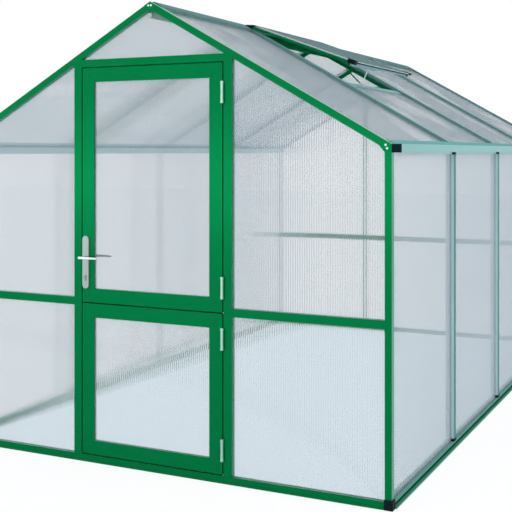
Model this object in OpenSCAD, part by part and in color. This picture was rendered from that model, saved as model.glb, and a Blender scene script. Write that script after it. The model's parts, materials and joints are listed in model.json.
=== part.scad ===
// Garden greenhouse: green aluminium profiles, twin-wall sheets, a two-leaf stable
// door in the front gable and one roof vent that stands open.
// House frame: X across, Y from the front gable to the back one, Z up from the ground.

/* [House] */
// Width over the corner posts
house_w = 2500; // [2500:10:3200]
// Number of bays along each side
bays = 4; // [3:1:6]
// Width of one side or roof sheet
sheet_w = 1050; // [850:10:1300]
// Height of the rafters' top line at the outside of the corner posts
eave_h = 1620; // [1620:10:2100]
// Roof pitch in degrees
roof_pitch = 29.6; // [29.6:0.1:40]
// Thickness of the twin-wall sheets
sheet_t = 10; // [6:1:12]

/* [Profiles] */
// Depth of the gable profiles, front to back
frame_d = 33; // [33:1:45]
// Face width of a corner post
post_w = 33; // [33:1:50]
// Thickness of a rafter, across its slope
rafter_t = 33.6; // [30:0.1:45]
// Height of the base rail
base_h = 36; // [30:1:50]
// Height of the gable mid rails
mid_rail_h = 40; // [30:1:60]
// Height of the mid rails' underside above the ground
mid_rail_z = 798; // [600:1:1000]
// Distance of each back stud's middle from the house's middle
back_stud_x = 397; // [300:1:500]
// Face width of a back stud
back_stud_w = 46; // [35:1:60]
// How far a sheet reaches into its groove
bite = 8.7; // [6:0.1:8.9]
// Clearance between a sheet and its groove
fit = 0.3; // [0.1:0.1:0.4]
// Distance from a profile's outer face in to the outer face of a side or roof sheet
sheet_inset = 12; // [12:0.5:14]

/* [Glazing bars] */
// Width of a glazing bar's outer cap
bar_w = 40; // [34:1:50]
// How far the cap stands off the sheet
bar_stand = 16; // [12:1:20]
// How far the bar reaches in behind the sheet
bar_inner = 22; // [14:1:30]
// Thickness of the bar's web
bar_web = 6; // [4:1:8]
// Space in each joint between the sheets' edges and the web
bar_room = 2; // [1:0.5:4]

/* [Gutter and ridge] */
// Distance of the gutter's outer face from the posts' outer face
gutter_out = 45; // [38:1:60]
// Height of the gutter's outer face
gutter_h = 37; // [34:1:45]
// Wall of the gutter and the thin flanges
skin = 3; // [2:0.5:3]
// Width of each wing of the ridge cap, down the slope
ridge_wing = 55; // [45:1:80]
// Depth of the ridge beam below the ridge line
ridge_d = 78; // [60:1:110]

/* [Door] */
// Width of both door leaves
leaf_w = 810; // [650:1:850]
// Height of the lower leaf
lower_leaf_h = 768; // [600:1:810]
// Height of the upper leaf
upper_leaf_h = 1196; // [900:1:1196]
// Thickness of the leaves
leaf_d = 25; // [22:1:25]
// Face width of the leaves' stiles and rails
leaf_member = 71; // [55:1:90]
// Air gap round each leaf
leaf_gap = 6; // [5:0.5:8]
// How far the stops reach behind a leaf's edge
stop_lap = 5; // [3:0.5:5]
// Face width of the door jambs
jamb_w = 46; // [36:1:60]
// Height of the header over the door
header_h = 38; // [24:1:38]

/* [Hinges and handle] */
// Radius of a hinge barrel
barrel_r = 7.5; // [6:0.5:7.5]
// Length of a whole hinge
hinge_len = 106; // [80:1:130]
// Distance of a hinge's middle from its leaf's end
hinge_in = 119; // [90:1:160]
// Distance of the top hinge's middle from the upper leaf's top
top_hinge_in = 142; // [90:1:180]
// Length of a hinge barrel's end cap
hinge_cap = 14; // [8:1:16]
// Radius of a hinge pin
pin_r = 3.5; // [2.5:0.5:4]
// Running clearance of pins and of the lever's neck
run_fit = 0.05; // [0.02:0.01:0.1]
// Height of the backplates
plate_h = 269; // [200:1:300]
// Width of the outer backplate
plate_w = 38; // [30:1:38]
// Width of the inner backplate
inner_plate_w = 26; // [22:1:26]
// Thickness of the backplates
plate_t = 8; // [6:1:10]
// Distance of the spindle from the leaf's free edge
backset = 23; // [22:1:35]
// Height of the backplates' bottom above the upper leaf's bottom
plate_up = 70; // [60:1:120]
// Height of the spindle above the backplates' bottom
lever_up = 159; // [120:1:180]
// Height of the key's middle above the backplates' bottom
key_up = 54; // [40:1:70]
// Length of the lever from the spindle
lever_len = 104; // [90:1:130]
// Distance of the lever's outer face from the leaf
lever_reach = 62; // [50:1:75]
// Thickness of the lever
lever_t = 12; // [8:1:14]
// Radius of the lever's neck
neck_r = 8; // [6:0.5:9]

/* [Roof vent] */
// Bay that the vent is in, counted from the front
vent_bay = 2; // [1:1:3]
// Length of the vent's frame, down the slope
vent_len = 650; // [500:5:750]
// How far the vent's sheet laps over its frame at the lower edge
vent_lap = 18; // [12:1:24]
// Angle by which the vent stands open, in degrees
vent_open = 9; // [5:0.1:20]
// How far the vent reaches past the middle of the near bar
vent_over = 18; // [4:1:18]
// How far the vent stops short of the middle of the far bar
vent_short = 30; // [24:1:60]
// Distance from the vent's lower end back up to the sill's upper edge
sill_back = 19; // [10:1:40]
// Face width of the vent frame's members
vent_member = 30; // [24:1:45]
// Depth of the vent frame's members
vent_d = 16; // [14:1:22]
// Width of the sill below the vent, down the slope
sill_w = 40; // [30:1:60]
// Distance of the opener from the bay's near bar
opener_y = 320; // [150:5:500]

/* [Hidden] */
$fn = 48;

bar_pitch = sheet_w + bar_web + 2 * bar_room;
house_l = bays * bar_pitch + frame_d;
half_w = house_w / 2;
post_in = half_w - post_w;
ridge_h = eave_h + half_w * tan(roof_pitch);
wall_x = half_w - sheet_inset;                 // outer face of the side sheets
roof_z = -sheet_inset;                         // outer face of the roof sheets, in the slope's frame
sheet_y = (frame_d - sheet_t) / 2;             // front face of a gable sheet within its frame
groove = bite + fit;

cap_h = base_h + 9;                            // top of the base corner caps, where the posts start
cap_side = max(post_w, frame_d) + 2;           // side of a base corner cap
cap_proud = 6;                                 // how far the corner caps stand out of the posts
end_flange = 4;                                // how far the end rails' foot stands out
side_flange = 12;                              // how far the side rails' foot stands out
rail_foot_h = 7;                               // height of the base rail's foot
rail_recess = 3;                               // depth of the recess in the base rail's face
rail_nose_h = 3;                               // height of the nose over the recess
rail_lip = 14;                                 // how far the side rails' inner lip stands up

eave_in = post_in + 1;                         // inner face of the eave beam
eave_out = wall_x + 6;                         // outer face of the eave beam
eave_z0 = eave_h - 48;                         // underside of the eave beam
gutter_x = half_w + gutter_out;                // outer face of the gutter
gutter_z0 = eave_h - gutter_h;                 // underside of the gutter

slope_end = (half_w + 9) / cos(roof_pitch);    // lower end of the roof sheets, down the slope
slope_start = 25;                              // upper end of the roof sheets
edge_w = 43;                                   // width of the edge strip on the roof sheets' lower end
edge_start = slope_end - edge_w;
bar_inner_z = -sheet_t - bar_inner;            // inner end of a bar's web, from the sheet's outer face

leaf_half = leaf_w / 2;
jamb_in = leaf_half + leaf_gap;
jamb_out = jamb_in + jamb_w;
stop_in = leaf_half - stop_lap;
stop_y = leaf_d + leaf_gap;
lower_z = base_h + leaf_gap;
upper_z = lower_z + lower_leaf_h + leaf_gap;
header_z = upper_z + upper_leaf_h + leaf_gap;
header_top = header_z + header_h;
mid_rail_top = mid_rail_z + mid_rail_h;

hinge_x = leaf_half + leaf_gap / 2;
hinge_y = -barrel_r - 2;
lower_hinges = [lower_z + hinge_in, lower_z + lower_leaf_h - hinge_in];
upper_hinges = [upper_z + hinge_in, upper_z + upper_leaf_h - top_hinge_in];
spindle_x = -leaf_half + backset;
plate_z = upper_z + plate_up;
lever_z = plate_z + lever_up;
key_z = plate_z + key_up;

vent_y0 = (vent_bay - 1) * bar_pitch - vent_over;
vent_y1 = vent_bay * bar_pitch - vent_short;
vent_s = ridge_wing + 3;                       // the vent's hinge line, down the slope
vent_z = bar_stand - sheet_inset + vent_d + sheet_t + fit;   // the hinge line, off the slope's plane
vent_tilt = roof_pitch - vent_open;
sill_s = vent_s + vent_len - sill_back;         // upper edge of the sill
vent_head = -sheet_t - vent_d;                 // underside of the vent's frame, in the vent's frame

carrier_w = 16;                                // width of the carrier under the vent, down the slope
carrier_h = 10;                                // height of the carrier
carrier_len = 460;                             // distance of its far end from the vent's near side
corner_block = 40;                             // size of the black block on the vent's corner
hinge_block = 44;                              // length of the black blocks on the vent's hinge rail

gusset_t = 2;                                  // thickness of the gusset plates and gutter end caps
hairline = 0.1;                                // half the joint line of a mitre
mid_y = (house_l + cap_proud - lever_reach) / 2;

green = "#0b8a55";
teal = "#8fb8b4";
clear = [0.80, 0.86, 0.90, 0.45];
black = "#15191c";
silver = "#c3c9c6";

function top_z(x) = ridge_h - abs(x) * tan(roof_pitch);
function under_z(x) = top_z(x) - rafter_t / cos(roof_pitch);
// A point of the right slope: s down the slope from the ridge, n out of its plane
function slope_pt(s, n) = [s * cos(roof_pitch) + n * sin(roof_pitch),
                           ridge_h - s * sin(roof_pitch) + n * cos(roof_pitch)];
// A point of the open vent: s from its hinge line, n out of its sheet
function vent_pt(s, n) = slope_pt(vent_s, vent_z)
    + [s * cos(vent_tilt) + n * sin(vent_tilt), -s * sin(vent_tilt) + n * cos(vent_tilt)];
function mirrored(points) = [for (i = [len(points) - 1 : -1 : 0]) [-points[i][0], points[i][1]]];
// Start and end of sheet k of a side, along Y
function sheet_start(k) = k == 0 ? frame_d - bite : k * bar_pitch + bar_web / 2 + bar_room;
function sheet_stop(k) = k == bays - 1 ? house_l - frame_d + bite
                                       : (k + 1) * bar_pitch - bar_web / 2 - bar_room;

// ---- placing helpers ----

module place() translate([0, -mid_y, 0]) children();

module left_and_right() {
    children();
    mirror([1, 0, 0]) children();
}

module on_side(side) {
    if (side > 0) children();
    else mirror([1, 0, 0]) children();
}

// An outline drawn in X and Z, made solid from y0 to y1
module along_y(y0, y1)
    translate([0, y1, 0]) rotate([90, 0, 0]) linear_extrude(y1 - y0) children();

// The right slope's frame: X down the slope, Z out of the roof
module on_slope() translate([0, 0, ridge_h]) rotate([0, roof_pitch, 0]) children();

// The open vent's frame: X from its hinge line, Z out of its sheet
module on_vent()
    on_slope() translate([vent_s, 0, vent_z]) rotate([0, -vent_open, 0]) children();

module box(x0, x1, y0, y1, z0, z1) translate([x0, y0, z0]) cube([x1 - x0, y1 - y0, z1 - z0]);

// ---- sheets; each also cuts its own groove, when it is drawn larger by the clearance ----

// Outline of a gable sheet from x0 to x1 and up from z0, to z1 or else to the rafters
module gable_outline(x0, x1, z0, z1, grow) {
    reach = bite + grow;
    roof_up = reach / cos(roof_pitch);
    a = x0 - reach;
    b = x1 + reach;
    head = z1 > 0 ? [[b, z1 + reach], [a, z1 + reach]]
         : a < 0 && b > 0 ? [[b, under_z(b) + roof_up], [0, under_z(0) + roof_up], [a, under_z(a) + roof_up]]
         : [[b, under_z(b) + roof_up], [a, under_z(a) + roof_up]];
    polygon(concat([[a, z0 - reach], [b, z0 - reach]], head));
}

module gable_sheet(at, grow, x0, x1, z0, z1 = 0)
    along_y(at + sheet_y - grow, at + sheet_y + sheet_t + grow) gable_outline(x0, x1, z0, z1, grow);

module front_sheets(grow) {
    left_and_right() {
        gable_sheet(0, grow, jamb_out, post_in, base_h, mid_rail_z);
        gable_sheet(0, grow, jamb_out, post_in, mid_rail_top);
    }
    gable_sheet(0, grow, -jamb_in, jamb_in, header_top);
}

module back_sheets(grow) {
    at = house_l - frame_d;
    inner = back_stud_x - back_stud_w / 2;
    outer = back_stud_x + back_stud_w / 2;
    left_and_right() {
        gable_sheet(at, grow, outer, post_in, base_h, mid_rail_z);
        gable_sheet(at, grow, outer, post_in, mid_rail_top);
    }
    gable_sheet(at, grow, -inner, inner, base_h, mid_rail_z);
    gable_sheet(at, grow, -inner, inner, mid_rail_top, header_z);
    gable_sheet(at, grow, -inner, inner, header_top);
}

module wall_sheets(grow)
    for (k = [0 : bays - 1])
        box(wall_x - sheet_t - grow, wall_x + grow, sheet_start(k) - grow, sheet_stop(k) + grow,
            base_h - bite - grow, eave_z0 + bite + grow);

// The sheets of the right slope; vented leaves out what the vent replaces
module roof_sheets(grow, vented)
    on_slope() for (k = [0 : bays - 1])
        box((vented && k == vent_bay - 1 ? sill_s + sill_w - bite : slope_start) - grow, slope_end + grow,
            sheet_start(k) - grow, sheet_stop(k) + grow, roof_z - sheet_t - grow, roof_z + grow);

module all_roof_sheets(grow) {
    roof_sheets(grow, true);
    mirror([1, 0, 0]) roof_sheets(grow, false);
}

// ---- base ----

// Section of a base rail: X is 0 at the posts' outer face and grows outwards
module rail_section(depth, lip, flange) {
    polygon([[-depth, 0], [flange, 0], [flange, rail_foot_h], [-rail_recess, rail_foot_h],
             [-rail_recess, base_h - rail_nose_h], [0, base_h - rail_nose_h], [0, base_h],
             [sheet_t - depth + groove, base_h], [sheet_t - depth + groove, base_h + lip],
             [-depth, base_h + lip]]);
}

module end_rail()
    translate([cap_side - half_w, 0, 0]) rotate([90, 0, 90])
        linear_extrude(house_w - 2 * cap_side) mirror([1, 0])
            rail_section(frame_d, 0, end_flange);

module base_rail_front() place() color(green) difference() {
    end_rail();
    front_sheets(fit);
}

module base_rail_back() place() color(green) difference() {
    translate([0, house_l, 0]) mirror([0, 1, 0]) end_rail();
    back_sheets(fit);
}

module side_rail(side) place() color(green) on_side(side) difference() {
    along_y(cap_side, house_l - cap_side) translate([half_w, 0]) rail_section(post_w, rail_lip, side_flange);
    wall_sheets(fit);
}

module base_corner_caps() place() color(black) difference() {
    left_and_right() for (y = [-cap_proud, house_l - cap_side])
        box(half_w - cap_side, half_w + cap_proud, y, y + cap_side + cap_proud, 0, cap_h);
    front_sheets(fit);
    back_sheets(fit);
    left_and_right() wall_sheets(fit);
}

// ---- gable frames ----

module corner_posts(at)
    left_and_right() along_y(at, at + frame_d)
        polygon([[post_in, cap_h], [half_w, cap_h], [half_w, under_z(half_w)], [post_in, under_z(post_in)]]);

module corner_posts_front() place() color(green) difference() {
    corner_posts(0);
    front_sheets(fit);
    left_and_right() wall_sheets(fit);
}

module corner_posts_back() place() color(green) difference() {
    corner_posts(house_l - frame_d);
    back_sheets(fit);
    left_and_right() wall_sheets(fit);
}

module rafters(at)
    left_and_right() along_y(at, at + frame_d)
        polygon([[hairline, top_z(hairline)], [hairline, under_z(hairline)],
                 [half_w, under_z(half_w)], [half_w, eave_h]]);

module rafters_front() place() color(green) difference() {
    rafters(0);
    front_sheets(fit);
    all_roof_sheets(fit);
}

module rafters_back() place() color(green) difference() {
    rafters(house_l - frame_d);
    back_sheets(fit);
    all_roof_sheets(fit);
}

// Six-sided plate over the rafters' joint at the ridge
module ridge_gusset() {
    half = 36;
    foot_half = 18;
    foot_z = under_z(0) - 12;
    side_z = under_z(0) - 3;
    polygon([[0, ridge_h], [-half, top_z(half)], [-half, side_z], [-foot_half, foot_z],
             [foot_half, foot_z], [half, side_z], [half, top_z(half)]]);
}

// Plate over the joint of post and rafter, with a cut inner corner
module eave_gusset() {
    arm = 80;
    cut_in = 28;
    cut_z = under_z(post_in) - 16;
    polygon([[half_w, eave_h], [half_w, cut_z - 26], [post_in, cut_z - 26], [post_in, cut_z],
             [post_in - cut_in, under_z(post_in - cut_in)],
             [half_w - arm, under_z(half_w - arm)], [half_w - arm, top_z(half_w - arm)]]);
}

module gusset_plates() place() color(green)
    for (y = [-gusset_t, house_l]) along_y(y, y + gusset_t) {
        ridge_gusset();
        eave_gusset();
        mirror([1, 0]) eave_gusset();
    }

// A post from the base rail up to the rafter's underside
module stud_outline(x0, x1)
    polygon([[x0, base_h], [x1, base_h], [x1, under_z(x1)], [x0, under_z(x0)]]);

module door_jambs() place() color(green) difference() {
    left_and_right() along_y(0, frame_d) stud_outline(jamb_in, jamb_out);
    front_sheets(fit);
}

module door_header() place() color(green) difference() {
    box(-jamb_in, jamb_in, 0, frame_d, header_z, header_top);
    front_sheets(fit);
}

// Strips behind the leaves' edges, on the jambs and under the header
module door_stops() place() color(green) {
    left_and_right() box(stop_in, jamb_in, stop_y, frame_d, base_h, header_z);
    box(hairline - stop_in, stop_in - hairline, stop_y, frame_d,
        header_z - leaf_gap - stop_lap, header_z);
}

module mid_rails_front() place() color(green) difference() {
    left_and_right() box(jamb_out, post_in, 0, frame_d, mid_rail_z, mid_rail_top);
    front_sheets(fit);
}

module back_studs() place() color(green) difference() {
    left_and_right() along_y(house_l - frame_d, house_l)
        stud_outline(back_stud_x - back_stud_w / 2, back_stud_x + back_stud_w / 2);
    back_sheets(fit);
}

module back_header() place() color(green) difference() {
    inner = back_stud_x - back_stud_w / 2;
    box(-inner, inner, house_l - frame_d, house_l, header_z, header_top);
    back_sheets(fit);
}

module mid_rails_back() place() color(green) difference() {
    inner = back_stud_x - back_stud_w / 2;
    union() {
        box(-inner, inner, house_l - frame_d, house_l, mid_rail_z, mid_rail_top);
        left_and_right()
            box(inner + back_stud_w, post_in, house_l - frame_d, house_l, mid_rail_z, mid_rail_top);
    }
    back_sheets(fit);
}

// ---- eaves, ridge and glazing bars ----

// Underside of the roof sheets, less the clearance, as a height at x
function seat_z(x) = top_z(x) - (sheet_inset + sheet_t + fit) / cos(roof_pitch);

module eave_gutter(side) place() color(teal) on_side(side) {
    difference() {
        union() {
            along_y(frame_d, house_l - frame_d)
                polygon([[eave_in, eave_z0], [eave_out, eave_z0], [eave_out, seat_z(eave_out)],
                         [eave_in, seat_z(eave_in)]]);
            box(eave_out, half_w, frame_d, house_l - frame_d, gutter_z0, gutter_z0 + skin);
            box(half_w, gutter_x, 0, house_l, gutter_z0, gutter_z0 + skin);
            box(gutter_x - skin, gutter_x, 0, house_l, gutter_z0, eave_h);
        }
        wall_sheets(fit);
    }
}

module gutter_end_caps() place() color(black)
    left_and_right() for (y = [-gusset_t, house_l])
        box(half_w, gutter_x + 1, y, y + gusset_t, gutter_z0 - 1, eave_h);

module roof_edges() place() color(teal) left_and_right() on_slope()
    translate([0, house_l - frame_d, 0]) rotate([90, 0, 0]) linear_extrude(house_l - 2 * frame_d)
        polygon([[edge_start, roof_z + fit], [edge_start, skin], [slope_end + skin, skin],
                 [slope_end + skin, roof_z - sheet_t - 2], [slope_end + fit, roof_z - sheet_t - 2],
                 [slope_end + fit, roof_z + fit]]);

// One section: the cap's wings over the sheets, the shelves under them, the web and its foot
module ridge_beam() place() color(green) {
    web = 8;
    foot = 18;
    foot_t = 4;
    under = roof_z - sheet_t - fit;
    foot_z = ridge_h - ridge_d;
    right = [slope_pt(ridge_wing, skin), slope_pt(ridge_wing, roof_z + fit),
             slope_pt(ridge_wing - skin, roof_z + fit), slope_pt(ridge_wing - skin, 0),
             [web, top_z(web)], [web, seat_z(web)],
             slope_pt(ridge_wing, under), slope_pt(ridge_wing, under - skin),
             [web, seat_z(web) - skin / cos(roof_pitch)],
             [web, foot_z + foot_t], [foot, foot_z + foot_t], [foot, foot_z]];
    along_y(frame_d, house_l - frame_d)
        polygon(concat([[0, ridge_h + skin / cos(roof_pitch)]], right, mirrored(right)));
}

// Outlines of four members m wide, mitred round a frame from x0, y0 to x1, y1
module mitred_ring(x0, x1, y0, y1, m) {
    g = 2 * hairline;
    polygon([[x0, y0], [x1, y0], [x1 - m, y0 + m], [x0 + m, y0 + m]]);
    polygon([[x0, y1], [x0 + m, y1 - m], [x1 - m, y1 - m], [x1, y1]]);
    polygon([[x0, y0 + g], [x0 + m, y0 + m + g], [x0 + m, y1 - m - g], [x0, y1 - g]]);
    polygon([[x1, y0 + g], [x1, y1 - g], [x1 - m, y1 - m - g], [x1 - m, y0 + m + g]]);
}

// Section of a glazing bar: X along the wall, Y out of the sheet's outer face
module bar_section() {
    leg = 2.5;
    flange = bar_w / 2 - 5;
    foot = bar_w / 2 - 8;
    for (s = [-1, 1]) translate([s > 0 ? bar_w / 2 - leg : -bar_w / 2, fit]) square([leg, bar_stand - fit]);
    translate([-bar_w / 2, bar_stand - skin]) square([bar_w, skin]);
    translate([-bar_web / 2, bar_inner_z]) square([bar_web, bar_stand - bar_inner_z]);
    translate([-flange, -sheet_t - fit - skin]) square([2 * flange, skin]);
    translate([-foot, bar_inner_z]) square([2 * foot, skin]);
}

bar_z0 = base_h + 16;
bar_z1 = eave_z0 - 2;

module wall_bars() place() color(teal) left_and_right() for (k = [1 : bays - 1])
    translate([wall_x, k * bar_pitch, bar_z0]) rotate([0, 0, -90]) linear_extrude(bar_z1 - bar_z0)
        bar_section();

module wall_bar_caps() place() color(black) left_and_right() for (k = [1 : bays - 1]) {
    y0 = k * bar_pitch - bar_w / 2;
    out = wall_x + bar_stand + 2;
    box(wall_x + fit, out, y0, y0 + bar_w, base_h, bar_z0);
    box(eave_out + fit, out, y0, y0 + bar_w, bar_z1, gutter_z0);
}

module roof_bars() place() color(teal) left_and_right() on_slope() for (k = [1 : bays - 1])
    translate([ridge_wing + fit, k * bar_pitch, roof_z]) rotate([90, 0, 90])
        linear_extrude(edge_start - ridge_wing - 2 * fit) bar_section();

// ---- roof vent, fixed open ----

// A rail that closes the step between the ridge and the open vent, from y0 to y1
module vent_hinge(y0, y1) on_slope() translate([0, y1, 0]) rotate([90, 0, 0]) linear_extrude(y1 - y0)
    polygon([[8, skin + fit], [ridge_wing, skin + fit], [ridge_wing, vent_z - vent_d - sheet_t],
             [vent_s - fit, vent_z - vent_d - sheet_t], [vent_s - fit, vent_z], [8, skin + 4]]);

// Mitred frame, a carrier that the opener holds under its lower member, and the hinge rail
module vent_frame() place() color(green) {
    on_vent() {
        translate([0, 0, vent_head]) linear_extrude(vent_d)
            mitred_ring(0, vent_len, vent_y0, vent_y1, vent_member);
        box(vent_len - 6 - carrier_w, vent_len - 6, vent_y0 + 15, vent_y0 + carrier_len,
            vent_head - carrier_h, vent_head);
    }
    vent_hinge(vent_y0 + hinge_block + 2 * hairline, vent_y1 - hinge_block - 2 * hairline);
}

module vent_sheet() place() color(clear) on_vent()
    box(0, vent_len + vent_lap, vent_y0 + skin, vent_y1 - skin, -sheet_t, 0);

// Black edge strip on the lower edge, a corner block, and a block at each end of the hinge rail
module vent_edge_caps() place() color(black) {
    end = vent_len + vent_lap;
    on_vent() {
        box(end, end + skin, vent_y0 + corner_block, vent_y1 - corner_block, -sheet_t - 3.5, -sheet_t + 3.5);
        difference() {
            box(end - corner_block, end + skin + 1, vent_y0 - skin, vent_y0 + corner_block, vent_head + 4, skin);
            box(-1, vent_len, vent_y0, vent_y1, vent_head - 1, -sheet_t);
            box(-1, vent_len, vent_y0, vent_y1, -sheet_t - 1, 0);
            box(-1, end, vent_y0 + skin, vent_y1, -sheet_t - 1, 0);
        }
        box(end - corner_block, end + skin + 1, vent_y1 - corner_block, vent_y1 + skin, 0, skin);
        box(end, end + skin + 1, vent_y1 - corner_block, vent_y1 + skin, -sheet_t, 0);
        box(vent_len, vent_len + skin, vent_y1 - vent_member, vent_y1, vent_head, -sheet_t);
    }
    vent_hinge(vent_y0, vent_y0 + hinge_block);
    vent_hinge(vent_y1 - hinge_block, vent_y1);
}

// Trimmer across the opening, between the two bars' caps
module vent_sill() place() color(teal) difference() {
    on_slope() box(sill_s, sill_s + sill_w, (vent_bay - 1) * bar_pitch + bar_w / 2 + fit,
                   vent_bay * bar_pitch - bar_w / 2 - fit, roof_z - sheet_t - 10, roof_z + 4);
    roof_sheets(fit, true);
}

// Rod from one point to another, both in X and Z
module strut(y, from, to, r) {
    run = to - from;
    translate([from[0], y, from[1]]) rotate([0, atan2(run[0], run[1]), 0]) cylinder(h = norm(run), r = r);
}

// A rod from the sill to the carrier, and a stay that lies up the opening from the same foot
module vent_opener() place() color(silver) {
    y = (vent_bay - 1) * bar_pitch + opener_y;
    wide = 10;
    sill_mid = sill_s + 14;
    foot = slope_pt(sill_mid, roof_z + 10);
    rod_head = vent_pt(vent_len - 6 - carrier_w / 2, vent_head - carrier_h - 4);
    on_slope() box(sill_mid - 12, sill_mid + 12, y - wide, y + wide, roof_z + 4, roof_z + 16);
    strut(y, foot, rod_head, 3);
    strut(y, foot, slope_pt(sill_mid - 130, roof_z + 44), 4);
    on_vent() box(vent_len - 6 - carrier_w, vent_len - 6, y - wide, y + wide, vent_head - carrier_h - 8,
                  vent_head - carrier_h);
}

// ---- door ----

// The four mitred members of a leaf, cut for the sheet they hold
module leaf_ring(z0, h) difference() {
    along_y(0, leaf_d) mitred_ring(-leaf_half, leaf_half, z0, z0 + h, leaf_member);
    leaf_sheet(z0, h, fit);
}

module leaf_sheet(z0, h, grow) {
    reach = bite + grow;
    b = leaf_half - leaf_member + reach;
    y0 = (leaf_d - sheet_t) / 2;
    box(-b, b, y0 - grow, y0 + sheet_t + grow, z0 + leaf_member - reach, z0 + h - leaf_member + reach);
}

module lower_leaf_frame() place() color(green) leaf_ring(lower_z, lower_leaf_h);

module lower_leaf_sheet() place() color(clear) leaf_sheet(lower_z, lower_leaf_h, 0);

module upper_leaf_frame() place() color(green) difference() {
    leaf_ring(upper_z, upper_leaf_h);
    translate([spindle_x, -1, lever_z]) rotate([-90, 0, 0]) cylinder(h = leaf_d + 2, r = 12);
    lock_body(0.5, -1, leaf_d + 1);
}

module upper_leaf_sheet() place() color(clear) leaf_sheet(upper_z, upper_leaf_h, 0);

// The lower half of a hinge, with the pin, and its wing on the jamb's edge
module fixed_half(z) {
    half = hinge_len / 2;
    wing_x = hinge_x + run_fit * 6;
    translate([hinge_x, hinge_y, z - half]) {
        cylinder(h = half - 0.5, r = barrel_r);
        cylinder(h = hinge_cap, r = barrel_r + 1);
        cylinder(h = hinge_len - hinge_cap, r = pin_r);
    }
    box(wing_x, jamb_in, hinge_y, leaf_d - 5, z - half + 4, z - 4);
}

// The upper half, which turns on the pin, and its wing on the leaf's edge
module moving_half(z) {
    half = hinge_len / 2;
    wing_x = hinge_x - run_fit * 6;
    difference() {
        union() {
            translate([hinge_x, hinge_y, z + 0.5]) cylinder(h = half - 0.5, r = barrel_r);
            translate([hinge_x, hinge_y, z + half - hinge_cap]) cylinder(h = hinge_cap, r = barrel_r + 1);
            box(leaf_half, wing_x, hinge_y, leaf_d - 5, z + 4, z + half - 4);
        }
        translate([hinge_x, hinge_y, z]) cylinder(h = half - hinge_cap + 1, r = pin_r + run_fit);
    }
}

module hinge_frame_halves() place() color(silver)
    for (z = concat(lower_hinges, upper_hinges)) fixed_half(z);

module lower_leaf_hinges() place() color(silver) for (z = lower_hinges) moving_half(z);

module upper_leaf_hinges() place() color(silver) for (z = upper_hinges) moving_half(z);

// ---- handle ----

// A backplate w wide from y0 to y1, with round ends
module backplate(w, y0, y1) difference() {
    union() {
        box(spindle_x - w / 2, spindle_x + w / 2, y0, y1, plate_z + w / 2, plate_z + plate_h - w / 2);
        for (z = [plate_z + w / 2, plate_z + plate_h - w / 2])
            translate([spindle_x, y0, z]) rotate([-90, 0, 0]) cylinder(h = y1 - y0, r = w / 2);
    }
    translate([spindle_x, y0 - 1, lever_z]) rotate([-90, 0, 0])
        cylinder(h = y1 - y0 + 2, r = neck_r + run_fit);
    lock_body(fit, y0 - 1, y1 + 1);
}

module handle_plates() place() color(silver) {
    backplate(plate_w, -plate_t, 0);
    backplate(inner_plate_w, leaf_d, leaf_d + plate_t);
}

// Key-shaped body of the lock cylinder: a round head over a narrow foot
module lock_body(grow, y0, y1) {
    r = 8.5 + grow;
    foot = 5 + grow;
    drop = 20;
    translate([spindle_x, y0, key_z + 6]) rotate([-90, 0, 0]) cylinder(h = y1 - y0, r = r);
    box(spindle_x - foot, spindle_x + foot, y0, y1, key_z + 6 - drop, key_z + 6);
}

module lock_cylinder() place() color(silver) lock_body(0, -plate_t - 3, leaf_d + plate_t + 3);

// One side's neck and lever arm, drawn outwards from the leaf's face at y = 0
module lever_side() {
    low = lever_reach - lever_t;
    tip_r = 8;
    root_r = 10;
    translate([0, 0.5, 0]) rotate([-90, 0, 0]) cylinder(h = low + 1, r = neck_r);
    translate([0, low, 0]) rotate([-90, 0, 0]) cylinder(h = lever_t, r = root_r);
    translate([lever_len - tip_r, low, 0]) rotate([-90, 0, 0]) cylinder(h = lever_t, r = tip_r);
    along_y(low, lever_reach)
        polygon([[0, -root_r], [lever_len - tip_r, -tip_r], [lever_len - tip_r, tip_r], [0, root_r]]);
}

module door_lever() place() color(silver) translate([spindle_x, 0, lever_z]) {
    mirror([0, 1, 0]) lever_side();
    translate([0, leaf_d, 0]) lever_side();
    box(-4, 4, -1, leaf_d + 1, -4, 4);
}

base_rail_front();
base_rail_back();
side_rail(-1);  // base_rail_left
side_rail(1);  // base_rail_right
base_corner_caps();
corner_posts_front();
corner_posts_back();
rafters_front();
rafters_back();
gusset_plates();
door_jambs();
door_header();
door_stops();
mid_rails_front();
back_studs();
back_header();
mid_rails_back();
eave_gutter(-1);  // eave_gutter_left
eave_gutter(1);  // eave_gutter_right
gutter_end_caps();
roof_edges();
ridge_beam();
wall_bars();
wall_bar_caps();
roof_bars();
place() color(clear) front_sheets(0);  // gable_sheets_front
place() color(clear) back_sheets(0);  // gable_sheets_back
place() color(clear) mirror([1, 0, 0]) wall_sheets(0);  // wall_sheets_left
place() color(clear) wall_sheets(0);  // wall_sheets_right
place() color(clear) mirror([1, 0, 0]) roof_sheets(0, false);  // roof_sheets_left
place() color(clear) roof_sheets(0, true);  // roof_sheets_right
vent_frame();
vent_sheet();
vent_edge_caps();
vent_sill();
vent_opener();
hinge_frame_halves();
lower_leaf_frame();
lower_leaf_sheet();
lower_leaf_hinges();
upper_leaf_frame();
upper_leaf_sheet();
upper_leaf_hinges();
handle_plates();
lock_cylinder();
door_lever();
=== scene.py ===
# %% [markdown]
# # A garden greenhouse
# The real object is a small greenhouse of green aluminium profiles, glazed with
# twin-wall sheets of clear polycarbonate. Its sizes come from a CAD model, which is
# loaded first. Everything made here lies in the same frame: metres, X across the
# house, Y from the front gable to the back one, Z up from the ground.

# %% Load the CAD model
import json
import math

import bpy
import numpy as np
from mathutils import Matrix, Vector


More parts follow.
